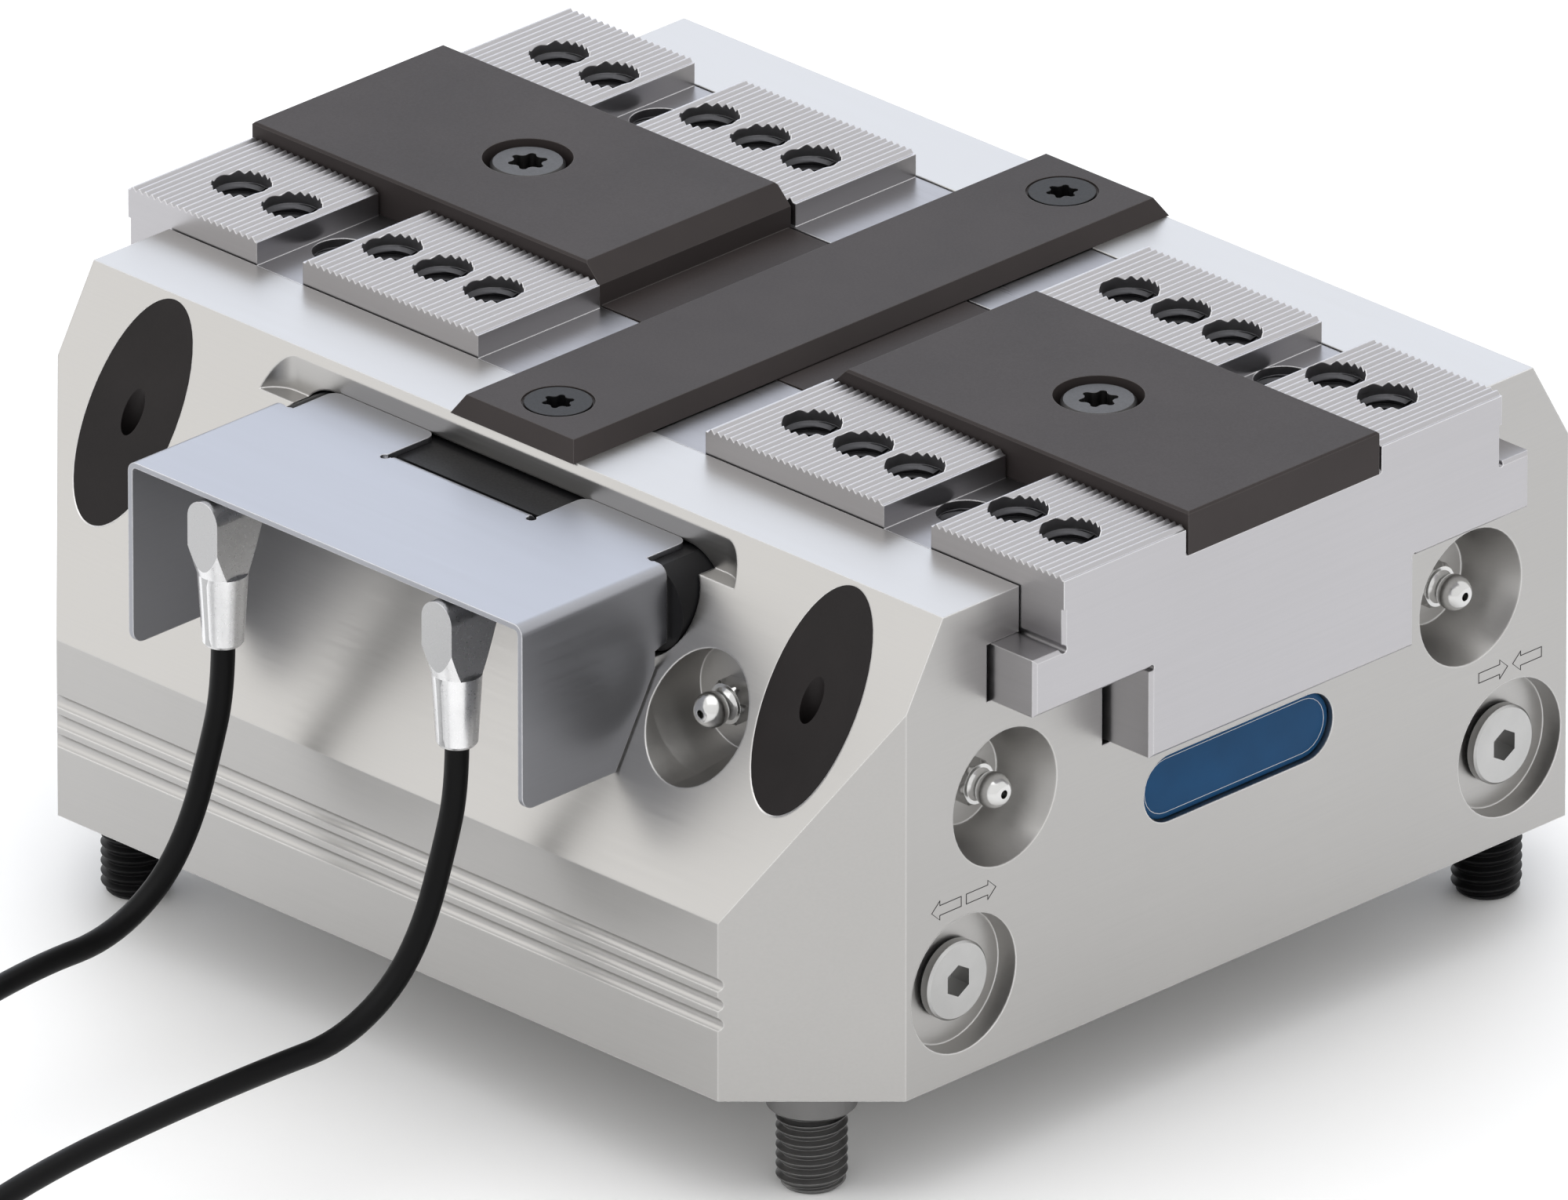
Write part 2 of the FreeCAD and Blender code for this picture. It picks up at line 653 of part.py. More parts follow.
def port_plugs():
    found = []
    for y in (-PORT_Y, PORT_Y):
        thread = cyl(4.86, (88, y, PORT_Z), (1, 0, 0), 8.5)
        flange = cyl(7.0, (97.0, y, PORT_Z), (1, 0, 0), 1.8)
        flange = chamfer(flange, 0.4, lambda e: e.CenterOfMass.x > 98.7 and e.Length > 40)
        neck = cyl(4.86, (96, y, PORT_Z), (1, 0, 0), 2)
        plug = fuse([thread, neck, flange])
        found.append(cut(plug, [hexagon(5, (94.5, y, PORT_Z), (1, 0, 0), 6)]))
    return Part.makeCompound(found)


def port_seal_rings():
    rings = [tube(6.7, 4.9, (96.2, y, PORT_Z), (1, 0, 0), 0.8) for y in (-PORT_Y, PORT_Y)]
    return Part.makeCompound(rings)


def badge():
    """A plain name plate, pill-shaped, set into the face."""
    r, x0 = BADGE_H / 2 - 0.1, HALF - 2.0
    flat = BADGE_L / 2 - BADGE_H / 2
    ends = [cyl(r, (x0, s * flat, BADGE_Z), (1, 0, 0), 0.9) for s in (-1, 1)]
    return fuse([box(x0, x0 + 0.9, -flat, flat, BADGE_Z - r, BADGE_Z + r)] + ends)


# --- sensors and hood ---
def sensor_insert():
    """The bar that fills the slot, with a low boss in front that the hood's flange is screwed to."""
    bar = obround_y(SLOT_X - 0.4, INSERT_R, SLOT_Z, INSERT_FRONT, SLOT_END - 0.02)
    boss = box(-15.5, 15.5, FLANGE_BACK + 0.02, INSERT_FRONT + 1, 66.6, 77.0)
    block = fuse([bar, boss])
    tools = [box(-60, 60, -90, -60, INSERT_TOP, 90)]
    for s in (-1, 1):
        tools.append(cyl(SENSOR_R + FIT, (s * SENSOR_X, -90, SENSOR_Z), (0, 1, 0), 30))
        tools.append(cyl(3.7, (s * 40, -90, SLOT_Z), (0, 1, 0), 14.5))
        tools.append(cyl(2.1, (s * 40, -90, SLOT_Z), (0, 1, 0), 30))
        tools.append(cyl(1.53, (s * FLANGE_SCREW_X, -90, SLOT_Z), (0, 1, 0), 19))
    return cut(block, tools)


def insert_screws():
    found = []
    for s in (-1, 1):
        x = s * 40
        head = cyl(3.5, (x, -79.4, SLOT_Z), (0, 1, 0), 3.9)
        shank = cyl(2.0, (x, -75.6, SLOT_Z), (0, 1, 0), 14.8)
        found.append(cut(fuse([head, shank]), [hexagon(3, (x, -80, SLOT_Z), (0, 1, 0), 2.6)]))
    return Part.makeCompound(found)


def sensor(side):
    x = side * SENSOR_X
    barrel = cyl(SENSOR_R, (x, -93, SENSOR_Z), (0, 1, 0), 93 - 59.8)
    spigot = cyl(2.4, (x, -98, SENSOR_Z), (0, 1, 0), 5.5)
    return fuse([barrel, spigot])


def coupling_nut(side):
    x = side * SENSOR_X
    nut = tube(3.7, 2.45, (x, -103, SENSOR_Z), (0, 1, 0), 9.8)
    return chamfer(nut, 0.4, lambda e: e.Length > 22 and e.Length < 24)


def sensor_plug(side):
    """The angled cable plug: a cone that flares upwards, with flat front, back and sides and a round top."""
    x, up = side * SENSOR_X, (0, 0, 1)
    half_w, front, back = 3.5, -115.0, -103.02
    nose = cyl(2.4, (x, back - 0.5, SENSOR_Z), (0, 1, 0), 5.4)
    body = fuse(
        [
            cone(3.2, 3.53, (x, PLUG_Y, PLUG_END_Z), up, 0.5),
            cone(3.53, 4.3, (x, PLUG_Y, PLUG_END_Z + 0.5), up, 12.5),
            cone(4.3, 8.6, (x, PLUG_Y, PLUG_END_Z + 13.0), up, 14.4),
        ]
    )
    keep_low = box(x - 6, x + 6, front, back, PLUG_END_Z - 1, PLUG_END_Z + 12.9)
    keep_high = box(x - half_w, x + half_w, front, back, PLUG_END_Z + 12.8, SENSOR_Z)
    keep_top = cyl(half_w, (x, front, SENSOR_Z), (0, 1, 0), back - front)
    keep = fuse([keep_low, keep_high, keep_top])
    return fuse([body.common(keep), nose])


def rounded_tunnel(half_x, top, y0, y1, z0, r):
    """A bar along Y whose two upper edges are rounded."""
    bar = box(-half_x, half_x, y0, y1, z0, top)
    return fillet(bar, r, lambda e: on_plane(e, 2, top) and abs(e.CenterOfMass.x) > half_x - 1)


def hood_u():
    """The folded sheet before its cut-outs: a top and two side flanges with rounded bends."""
    back = POCKET_BACK - 0.1
    outer = rounded_tunnel(HOOD_X, HOOD_TOP, HOOD_FRONT, back, HOOD_BOTTOM, BEND_R)
    inner_r = BEND_R - SHEET
    half_x, top = HOOD_X - SHEET, HOOD_TOP - SHEET
    inner = rounded_tunnel(half_x, top, HOOD_FRONT - 1, back + 2, HOOD_BOTTOM - 1, inner_r)
    return outer.cut(inner)


def hood_flange(half_x):
    """The rear flange: a quarter bend down from the window's edge, then a flat tab."""
    bend_y, bend_z = WINDOW_FRONT - 0.01, HOOD_TOP - BEND_R
    bend = cyl(BEND_R, (-half_x, bend_y, bend_z), (1, 0, 0), 2 * half_x)
    hollow = cyl(BEND_R - SHEET, (-half_x - 1, bend_y, bend_z), (1, 0, 0), 2 * half_x + 2)
    quarter = box(-half_x - 1, half_x + 1, bend_y, bend_y + 10, bend_z, bend_z + 10)
    back = bend_y + BEND_R
    drop = box(-half_x, half_x, back - SHEET, back, 66.5, bend_z)
    return [bend.cut(hollow).common(quarter), drop]


def hood():
    slope_gap = 0.5
    low_back, high_back = -83.0, -80.2
    step_z = 65.8
    far = 60.0
    behind = [
        (-far, -(flank_y(HOOD_BOTTOM - 5) + slope_gap), HOOD_BOTTOM - 5),
        (-far, low_back, HEIGHT - (-low_back - slope_gap - TOP_HALF) * SLOPE),
        (-far, low_back, step_z),
        (-far, high_back, step_z + 0.8),
        (-far, high_back, HOOD_TOP + 5),
        (-far, -50, HOOD_TOP + 5),
        (-far, -50, HOOD_BOTTOM - 5),
    ]
    tab_x, window_x, relief_r = 41.6, 17.5, 0.9
    side_cut = prism(behind, (2 * far, 0, 0)).cut(box(-tab_x, tab_x, -95, -40, 70, 90))
    window = box(-window_x, window_x, WINDOW_FRONT, -60, 70, 90)
    tools = [side_cut, window]
    notch_front = -79.6
    for s in (-1, 1):
        near, away = sorted((s * tab_x, s * (tab_x + 4)))
        tools.append(cyl(relief_r, (s * (window_x - 0.3), WINDOW_FRONT - 0.3, 70), (0, 0, 1), 20))
        tools.append(box(near, away, notch_front, -60, 70, 90))
        tools.append(cyl(relief_r, (s * (tab_x + 1.2), notch_front, 70), (0, 0, 1), 20))
    sheet = hood_u().cut(tools)
    sheet = fillet(sheet, 2.0, lambda e: along_z(e) and e.CenterOfMass.y > POCKET_BACK - 0.3)
    sheet = fillet(sheet, 2.5, lambda e: on_plane(e, 1, HOOD_FRONT) and on_plane(e, 2, HOOD_BOTTOM))
    sheet = fuse([sheet] + hood_flange(window_x - 1.5))
    holes = [cyl(1.7, (s * FLANGE_SCREW_X, -90, SLOT_Z), (0, 1, 0), 20) for s in (-1, 1)]
    return cut(sheet, holes)


def hood_screws():
    front, along, found = FLANGE_BACK - 0.01 - SHEET, (0, 1, 0), []
    for s in (-1, 1):
        x = s * FLANGE_SCREW_X
        head = cyl(2.75, (x, front - 1.65, SLOT_Z), along, 1.63)
        shank = cyl(1.5, (x, front - 0.5, SLOT_Z), along, 9.5)
        socket = hexagon(2, (x, front - 2, SLOT_Z), along, 1.3)
        found.append(cut(fuse([head, shank]), [socket]))
    return Part.makeCompound(found)


# --- cables: straight runs joined by tangent arcs ---
def route_tube(points, name):
    """A cable along a route; every corner is an arc as large as its two runs allow."""
    r = CABLE_R
    pts = [V(*p) for p in points]
    edges, start, radii = [], pts[0], []
    for before, corner, after in zip(pts, pts[1:], pts[2:]):
        a, b = (before - corner), (after - corner)
        run = min(a.Length, b.Length)
        a.normalize()
        b.normalize()
        turn = math.pi - a.getAngle(b)
        reach = 0.45 * run
        radius = reach / math.tan(turn / 2)
        radii.append(radius)
        first, last = corner + a * reach, corner + b * reach
        centre_way = (a + b).normalize()
        to_centre = math.hypot(reach, radius)
        middle = corner + centre_way * (to_centre - radius)
        edges.append(Part.LineSegment(start, first).toShape())
        edges.append(Part.Arc(first, middle, last).toShape())
        start = last
    edges.append(Part.LineSegment(start, pts[-1]).toShape())
    path = Part.Wire(edges)
    ring = Part.Wire(Part.makeCircle(r, pts[0], pts[1] - pts[0]))
    solid = path.makePipeShell([ring], True, False, 2)
    share = solid.Volume / (math.pi * r * r * path.Length)
    print(name, "length", round(path.Length, 1), "volume share", round(share, 4))
    print("    radii", [round(radius, 1) for radius in radii])
    return solid


def coming_down(x):
    """What both cables share: straight down out of the plug, then round and out, away from the housing."""
    return [
        (x, PLUG_Y, PLUG_END_Z),
        (x, -110.5, 43.2),
        (x, -113.3, 33.9),
        (x, -118.2, 20.9),
        (x, -126.0, 11.7),
        (x, -138.3, 6.6),
        (x, -152.0, 7.2),
    ]


def route_left():
    x = -SENSOR_X
    return coming_down(x) + [
        (x, -170.0, 5.6),
        (x, -190.0, -0.2),
        (x, -210.0, -9.6),
        (x, -228.0, -16.6),
        (x, -243.0, LYING),
        (x, LEFT_COIL[1] + COIL_ENTRY, LYING),
    ]


def route_right():
    x = SENSOR_X
    return coming_down(x) + [
        (x, -178.0, 7.3),
        (x, -207.0, 6.1),
        (x, -231.0, 1.4),
        (x, -249.0, -8.7),
        (x, -266.0, -15.6),
        (x, -277.0, LYING),
        (x, RIGHT_COIL[1] + COIL_ENTRY, LYING),
    ]


def route_tail(coil):
    """The short length from the coil's top layer to the connector that lies beside it."""
    x, y = coil
    top, axis = LYING + 3.7, FLOOR + END_R
    return [
        (x + 0.6, y - 28.0, top),
        (x - 8.5, y - 33.0, top - 0.3),
        (x - 18.0, y - 35.0, axis + 0.1),
        (x - 27.0, y - 35.0, axis),
    ]


def coil_solid(coil):
    """The outer shape of a neat coil: three turns side by side and two on top of them."""
    x, y = coil
    half_wide = 1.5 * CABLE_D
    bundle = tube(COIL_R + half_wide, COIL_R - half_wide, (x, y, FLOOR), (0, 0, 1), 2 * CABLE_D - 0.4)
    return chamfer(bundle, 1.2, lambda e: not along_z(e) and e.CenterOfMass.z > FLOOR + CABLE_D)


def end_plug(coil):
    """The straight connector at the far end, lying on the surface with its axis along -X."""
    x, y, z = coil[0] - 27.0, coil[1] - 35.0, FLOOR + END_R
    out = (-1, 0, 0)
    boot = cone(2.6, 4.6, (x, y, z), out, 9.0)
    grip = cyl(4.6, (x - 9, y, z), out, 13.0)
    neck = cyl(3.2, (x - 22, y, z), out, 12.0)
    return fuse([boot, grip, neck])


def end_plug_nut(coil):
    x, y, z = coil[0] - 27.0, coil[1] - 35.0, FLOOR + END_R
    return tube(END_R, 3.23, (x - 22.1, y, z), (-1, 0, 0), 9.0)


# --- all nodes ---
def build():
    right_jaw, left_jaw = jaw_right_shape(30.8), mirror_x(jaw_right_shape(24.0))
    cover, cover_screw = jaw_cover_right(), jaw_cover_screw_right()
    nodes = {
        "housing": housing(),
        "bottom_cover": bottom_cover(),
        "bottom_cover_screws": bottom_cover_screws(),
        "cover_o_ring": cover_o_ring(),
        "piston": piston(),
        "piston_seal": ring_in_groove(BORE_R - 0.02, 68.05, 31.1, 34.1),
        "piston_guide_ring": ring_in_groove(BORE_R - 0.02, 70.05, 25.25, 29.25),
        "rod_seal": ring_in_groove(14.45, ROD_R + 0.02, 41.6, 45.5),
        "wedge_hook": wedge_hook(),
        "wedge_screw": wedge_screw(),
        "jaw_right": right_jaw,
        "jaw_left": left_jaw,
        "jaw_cover_right": cover,
        "jaw_cover_left": mirror_x(cover),
        "jaw_cover_screw_right": cover_screw,
        "jaw_cover_screw_left": mirror_x(cover_screw),
        "bridge_bar": bridge_bar(),
        "bridge_screws": bridge_screws(),
        "mounting_screws": mounting_screws(),
        "centring_sleeves": centring_sleeves(),
        "mounting_hole_caps": mounting_hole_caps(),
        "grease_nipples_right": side_nipples(1),
        "grease_nipples_left": side_nipples(-1),
        "grease_nipple_flank": flank_nipple(),
        "port_plugs": port_plugs(),
        "port_seal_rings": port_seal_rings(),
        "badge": badge(),
        "sensor_insert": sensor_insert(),
        "insert_screws": insert_screws(),
        "hood": hood(),
        "hood_screws": hood_screws(),
    }
    cables = (("left", -1, route_left(), LEFT_COIL), ("right", 1, route_right(), RIGHT_COIL))
    for name, side, route, coil in cables:
        nodes["sensor_" + name] = sensor(side)
        nodes["coupling_nut_" + name] = coupling_nut(side)
        nodes["sensor_plug_" + name] = sensor_plug(side)
        lead = route_tube(route, "lead_" + name)
        tail = route_tube(route_tail(coil), "tail_" + name)
        nodes["cable_" + name] = Part.makeCompound([lead, tail])
        nodes["cable_coil_" + name] = coil_solid(coil)
        nodes["end_plug_" + name] = end_plug(coil)
        nodes["end_plug_nut_" + name] = end_plug_nut(coil)
    return nodes


os.makedirs("parts", exist_ok=True)
for node, shape in build().items():
    if not shape.isValid() or not shape.Solids:
        print("NOT VALID", node)
    shape.exportStep("parts/" + node + ".step")
    print(node, "solids", len(shape.Solids), "volume", round(shape.Volume, 1))
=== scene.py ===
import json
import math

import bmesh
import bpy
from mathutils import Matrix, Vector

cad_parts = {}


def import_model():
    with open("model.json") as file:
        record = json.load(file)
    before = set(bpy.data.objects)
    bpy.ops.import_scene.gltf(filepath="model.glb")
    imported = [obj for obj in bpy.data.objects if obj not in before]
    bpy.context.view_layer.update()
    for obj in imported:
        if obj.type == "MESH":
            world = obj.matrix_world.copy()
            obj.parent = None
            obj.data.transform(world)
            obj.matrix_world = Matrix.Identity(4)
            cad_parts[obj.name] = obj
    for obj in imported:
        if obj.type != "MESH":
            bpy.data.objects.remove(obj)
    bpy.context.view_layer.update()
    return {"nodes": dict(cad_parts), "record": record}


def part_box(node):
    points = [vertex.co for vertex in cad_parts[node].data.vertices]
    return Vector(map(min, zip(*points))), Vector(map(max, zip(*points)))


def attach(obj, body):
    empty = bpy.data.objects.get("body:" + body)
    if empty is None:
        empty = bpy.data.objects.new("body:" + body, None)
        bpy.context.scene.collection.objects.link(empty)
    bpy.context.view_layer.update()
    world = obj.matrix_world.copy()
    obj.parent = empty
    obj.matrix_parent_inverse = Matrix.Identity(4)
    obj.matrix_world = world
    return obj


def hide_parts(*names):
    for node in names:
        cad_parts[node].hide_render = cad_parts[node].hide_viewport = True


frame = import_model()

# The looks of a pneumatic clamping gripper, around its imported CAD. Metres; +X is the jaws' stroke,
# the sensors and the hood are on -Y, and the tips of the mounting screws are the lowest point.

MM = 0.001
HOUSING, RIGHT_JAW, LEFT_JAW = "housing_body", "jaw_unit_right", "jaw_unit_left"
SCENE = bpy.context.scene


# --- places, from the frame ---
def low(node):
    return Vector(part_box(node)[0])


def high(node):
    return Vector(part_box(node)[1])


def middle(node):
    return (low(node) + high(node)) / 2


def mount(name):
    for entry in frame["record"]["mounts"]:
        if entry["name"] == name:
            return entry
    raise ValueError("the record has no mount named " + name)


FLOOR_Z = low("mounting_screws").z
FACE_X = high("housing").x
SLAB_TOP = 84.9 * MM  # the jaws' level faces between their pads


# --- meshes ---
def finish_mesh(name, bm, body, material, sharp=35.0):
    bmesh.ops.remove_doubles(bm, verts=bm.verts, dist=1e-7)
    bmesh.ops.dissolve_degenerate(bm, edges=bm.edges, dist=1e-7)
    bmesh.ops.recalc_face_normals(bm, faces=bm.faces)
    mesh = bpy.data.meshes.new(name)
    bm.to_mesh(mesh)
    bm.free()
    mesh.shade_smooth()
    mesh.set_sharp_from_angle(angle=math.radians(sharp))
    piece = bpy.data.objects.new(name, mesh)
    SCENE.collection.objects.link(piece)
    mesh.materials.append(material)
    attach(piece, body)
    return piece


def add_rows(bm, rows, cap_first=True, cap_last=True, loop=False):
    """Skins rows of points; each row is a closed ring of the same number of points."""
    made = [[bm.verts.new(p) for p in row] for row in rows]
    count = len(rows[0])
    pairs = list(zip(made, made[1:]))
    if loop:
        pairs.append((made[-1], made[0]))
    for a, b in pairs:
        for i in range(count):
            j = (i + 1) % count
            bm.faces.new((a[i], a[j], b[j], b[i]))
    if cap_first and not loop:
        bm.faces.new(made[0])
    if cap_last and not loop:
        bm.faces.new(made[-1])


def axes_of(out):
    out = Vector(out).normalized()
    side = Vector((0, 0, 1)) if abs(out.z) < 0.9 else Vector((1, 0, 0))
    u = out.cross(side).normalized()
    return out, u, out.cross(u)


def ring(place, out, h, radius, columns):
    """A ring of points at height h along out; radius is a number or a function of the angle."""
    out, u, v = axes_of(out)
    points = []
    for i in range(columns):
        a = 2 * math.pi * i / columns
        r = radius(a) if callable(radius) else radius
        points.append(Vector(place) + h * out + r * math.cos(a) * u + r * math.sin(a) * v)
    return points


def hexagon(flat, limit):
    """Radius of a hexagon, flat across its flats, whose corners are turned down to the radius limit."""

    def radius(a):
        off = (a % (math.pi / 3)) - math.pi / 6
        return min(flat / 2 / math.cos(off), limit)

    return radius


def turned(bm, place, out, profile, columns=48):
    """A turned body: profile lists (height along out, radius)."""
    add_rows(bm, [ring(place, out, h, r, columns) for h, r in profile])


def thread_rows(place, out, start, end, pitch, root, crest, end_radius, columns=48, steps=6):
    """Rings of a screw thread. Each ring climbs one pitch per turn, and is held between the two ends."""
    out, u, v = axes_of(out)
    levels = (0.0, 0.12, 0.5, 0.88, 1.0, 0.5)
    rows = []
    total = int(math.ceil((end - start) / pitch) + 2) * steps
    for k in range(-steps, total):
        row = []
        for i in range(columns):
            a = 2 * math.pi * i / columns
            h = start + (k / steps + i / columns) * pitch
            r = root + (crest - root) * levels[k % steps]
            sign = 1 if crest > root else -1
            room = min(h - start, end - h)
            if room <= 0:
                r = end_radius
            elif sign * (r - end_radius) > room:
                r = end_radius + sign * room
            h = min(max(h, start), end)
            row.append(Vector(place) + h * out + r * math.cos(a) * u + r * math.sin(a) * v)
        rows.append(row)
    return rows


# --- materials ---
class Shader:
    """A material's nodes, with short ways to add and join them."""

    def __init__(self, name, colour, roughness, metallic=0.0):
        self.material = bpy.data.materials.new(name)
        self.material.use_nodes = True
        self.nodes = self.material.node_tree.nodes
        self.links = self.material.node_tree.links
        self.bsdf = self.nodes["Principled BSDF"]
        self.set(self.bsdf, {"Base Color": (*colour, 1), "Roughness": roughness, "Metallic": metallic})
        self.coordinates = self.add("ShaderNodeTexCoord").outputs["Object"]

    def set(self, node, values):
        for key, value in values.items():
            if hasattr(value, "is_output"):
                self.links.new(value, node.inputs[key])
            else:
                node.inputs[key].default_value = value

    def add(self, kind, values=None, **settings):
        node = self.nodes.new(kind)
        for key, value in settings.items():
            setattr(node, key, value)
        self.set(node, values or {})
        return node

    def noise(self, scale, detail=3.0, stretch=(1, 1, 1), roughness=0.55):
        """Noise with scale features a metre; stretch multiplies the coordinates first."""
        at = self.add("ShaderNodeMapping", {"Vector": self.coordinates, "Scale": stretch}).outputs[0]
        values = {"Vector": at, "Scale": scale, "Detail": detail, "Roughness": roughness}
        return self.add("ShaderNodeTexNoise", values).outputs["Fac"]

    def math(self, operation, a, b=0.0, clamp=False):
        node = self.add("ShaderNodeMath", {0: a, 1: b}, operation=operation, use_clamp=clamp)
        return node.outputs[0]

    def spread(self, value, low, high):
        """Maps a noise, whose values gather around a half, to the range from low to high."""
        values = {"Value": value, "From Min": 0.3, "From Max": 0.7, "To Min": low, "To Max": high}
        return self.add("ShaderNodeMapRange", values, clamp=True).outputs[0]

    def mix(self, factor, a, b):
        node = self.add("ShaderNodeMix", data_type="RGBA")
        self.set(node, {0: factor})
        for index, value in ((6, a), (7, b)):
            if hasattr(value, "is_output"):
                self.links.new(value, node.inputs[index])
            else:
                node.inputs[index].default_value = (*value, 1)
        return node.outputs[2]

    def edges(self, radius, gain):
        """A factor that is 1 on the object's own edges, for a painted highlight there, and the normal that
        rounds them.
        """
        rounded = self.add("ShaderNodeBevel", {"Radius": radius}, samples=4).outputs[0]
        flat = self.add("ShaderNodeNewGeometry").outputs["Normal"]
        both = self.add("ShaderNodeVectorMath", {0: rounded, 1: flat}, operation="DOT_PRODUCT")
        off = self.math("SUBTRACT", 1.0, both.outputs["Value"])
        return self.math("MULTIPLY", off, gain, clamp=True), rounded

    def relief(self, height, distance, normal=None, strength=1.0):
        values = {"Height": height, "Distance": distance, "Strength": strength}
        if normal is not None:
            values["Normal"] = normal
        bump = self.add("ShaderNodeBump", values).outputs[0]
        self.set(self.bsdf, {"Normal": bump})


def shade(colour, factor):
    return tuple(min(1.0, c * factor) for c in colour)


def ground_metal(name, colour, roughness, edge_highlight_colour, edge=0.0003, relief=1e-6, painted_shade_z=None):
    """Ground steel: fine lines along X, or along Y on faces that look along X; soft clouds; a painted
    highlight on the edges.

    Level faces at the given height, as between the jaws' pads, get a painted shade: they are darker.
    """
    lines, cloud = 2200.0, 0.05
    m = Shader(name, colour, roughness, metallic=1.0)
    along_x = m.noise(lines, stretch=(0.012, 1, 1))
    along_y = m.noise(lines, stretch=(1, 0.012, 1))
    normal = m.add("ShaderNodeNewGeometry").outputs["True Normal"]
    toward_x = m.math("ABSOLUTE", m.add("ShaderNodeSeparateXYZ", {0: normal}).outputs["X"])
    on_end = m.math("GREATER_THAN", toward_x, 0.7)
    values = {"Factor": on_end, "A": along_x, "B": along_y}
    grain = m.add("ShaderNodeMix", values, data_type="FLOAT").outputs[0]
    clouds = m.noise(16.0, detail=4.0)
    grey = m.mix(m.spread(grain, 0.0, 1.0), shade(colour, 0.955), shade(colour, 1.03))
    cloudy = m.mix(m.spread(clouds, 0.0, 1.0), shade(colour, 1 - cloud), shade(colour, 1 + cloud))
    base = m.add("ShaderNodeMix", {0: 0.5}, data_type="RGBA")
    m.links.new(grey, base.inputs[6])
    m.links.new(cloudy, base.inputs[7])
    skin = base.outputs[2]
    # painted shade: level faces at that height, between the pads, are darkened to 0.6
    if painted_shade_z is not None:
        height = m.add("ShaderNodeSeparateXYZ", {0: m.coordinates}).outputs["Z"]
        level = m.math("GREATER_THAN", m.add("ShaderNodeSeparateXYZ", {0: normal}).outputs["Z"], 0.9)
        near = m.math("LESS_THAN", m.math("ABSOLUTE", m.math("SUBTRACT", height, painted_shade_z)), 0.0004)
        skin = m.mix(m.math("MULTIPLY", level, near), skin, shade(colour, 0.6))
    # painted highlight: the edges get the lighter edge colour
    highlight_mask, rounded = m.edges(edge, 2.6)
    m.set(m.bsdf, {"Base Color": m.mix(highlight_mask, skin, edge_highlight_colour)})
    blend = m.math("ADD", m.math("MULTIPLY", grain, 0.6), m.math("MULTIPLY", clouds, 0.4))
    uneven = m.spread(blend, -0.05, 0.05)
    m.set(m.bsdf, {"Roughness": m.math("ADD", uneven, roughness)})
    m.relief(grain, relief, rounded)
    return m.material


def black_oxide(name, colour, roughness, edge_highlight_colour, edge=0.00025, gain=1.6):
    """Blackened steel: a slightly brown, cloudy skin with a fine grain, and a painted highlight along its
    edges.
    """
    m = Shader(name, colour, roughness)
    m.set(m.bsdf, {"Specular IOR Level": 0.14})
    fine = m.noise(2600.0, detail=2.0)
    clouds = m.noise(40.0, detail=5.0)
    skin = m.mix(m.spread(clouds, 0.0, 1.0), shade(colour, 0.88), shade(colour, 1.12))
    highlight_mask, rounded = m.edges(edge, gain)
    m.set(m.bsdf, {"Base Color": m.mix(highlight_mask, skin, edge_highlight_colour)})
    m.set(m.bsdf, {"Roughness": m.math("ADD", m.spread(fine, -0.03, 0.03), roughness)})
    m.relief(fine, 1e-6, rounded)
    return m.material


def turned_metal(name, colour, roughness, edge_highlight_colour, grain=2400.0, painted_shade_front=False):
    """Turned or cast metal with a fine even grain, soft clouds and a painted highlight on its edges.

    With the last argument set, faces that look along -Y get a painted shade: they are darker.
    """
    m = Shader(name, colour, roughness, metallic=1.0)
    fine = m.noise(grain, detail=3.0)
    clouds = m.noise(120.0, detail=3.0)
    skin = m.mix(m.spread(clouds, 0.0, 1.0), shade(colour, 0.94), shade(colour, 1.06))
    # painted shade: faces that look along -Y are darkened to 0.55
    if painted_shade_front:
        normal = m.add("ShaderNodeNewGeometry").outputs["True Normal"]
        toward_y = m.add("ShaderNodeSeparateXYZ", {0: normal}).outputs["Y"]
        skin = m.mix(m.math("LESS_THAN", toward_y, -0.985), skin, shade(colour, 0.55))
    # painted highlight: the edges get the lighter edge colour
    highlight_mask, rounded = m.edges(0.00012, 1.0)
    m.set(m.bsdf, {"Base Color": m.mix(highlight_mask, skin, edge_highlight_colour)})
    m.set(m.bsdf, {"Roughness": m.math("ADD", m.spread(fine, -0.04, 0.04), roughness)})
    m.relief(fine, 3e-7, rounded)
    return m.material


def moulded_plastic(name, colour, roughness, grain=2400.0, relief=4e-6):
    m = Shader(name, colour, roughness)
    m.set(m.bsdf, {"Specular IOR Level": 0.14})
    fine = m.noise(grain, detail=2.0)
    clouds = m.noise(60.0, detail=3.0)
    skin = m.mix(m.spread(clouds, 0.0, 1.0), shade(colour, 0.85), shade(colour, 1.15))
    # painted highlight: the edges are lighter than the plastic
    highlight_mask, rounded = m.edges(0.0002, 1.2)
    m.set(m.bsdf, {"Base Color": m.mix(highlight_mask, skin, shade(colour, 1.8))})
    m.set(m.bsdf, {"Roughness": m.math("ADD", m.spread(fine, -0.04, 0.06), roughness)})
    m.relief(fine, relief, rounded)
    return m.material


def enamel(name, colour):
    """Blue enamel: a smooth coat with faint orange peel over a slightly mottled colour."""
    m = Shader(name, colour, 0.28)
    clouds = m.noise(90.0, detail=3.0)
    peel = m.noise(700.0, detail=1.0)
    skin = m.mix(m.spread(clouds, 0.0, 1.0), shade(colour, 0.92), shade(colour, 1.1))
    m.set(m.bsdf, {"Base Color": skin})
    m.set(m.bsdf, {"Specular IOR Level": 0.12})
    m.relief(peel, 1e-6)
    return m.material


